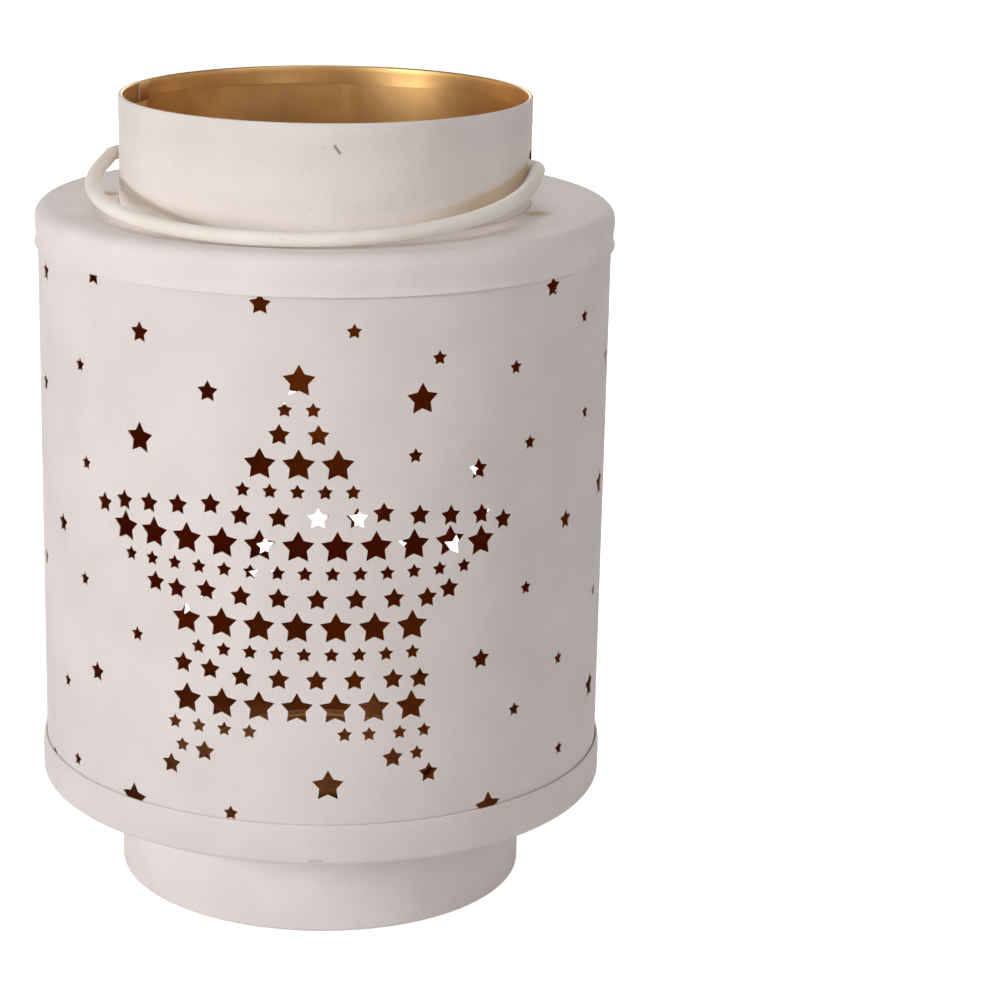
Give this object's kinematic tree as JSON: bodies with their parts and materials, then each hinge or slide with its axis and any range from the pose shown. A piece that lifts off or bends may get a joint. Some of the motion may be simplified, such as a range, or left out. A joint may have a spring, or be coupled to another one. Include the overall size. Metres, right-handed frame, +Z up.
{
  "type": "candle lantern",
  "caption": "Round sheet-metal candle lantern: drum pierced with stars, open neck, foot, and a wire bail that swings over the neck",
  "frame": {"origin": "bottom centre of the foot, on the axis of the drum, on the surface that the lantern stands on", "axes": "+Z up; -Y is the front, where the bail lies and the large star is; X is the axis that the bail swings about"},
  "size_m": [0.1926, 0.1926, 0.2679],
  "materials": {
    "paint": "matte off-white paint outside, satin gold paint on the inside of the drum and pan",
    "wire_paint": "matte off-white paint on wire",
    "gilding": "satin gold paint"
  },
  "bodies": {
    "lantern": {"foot_ring": "paint", "base_pan": "paint", "body_shell": "paint", "candle_plate": "gilding", "lid_ring": "paint", "neck_collar": "paint"},
    "bail": {"bail_handle": "wire_paint"}
  },
  "joints": [
    {"name": "bail_swing", "type": "hinge", "parent": "lantern", "child": "bail", "pos_m": [0, 0, 0.2459], "axis": [-1, 0, 0], "range_deg": [0, 194.2]}
  ]
}
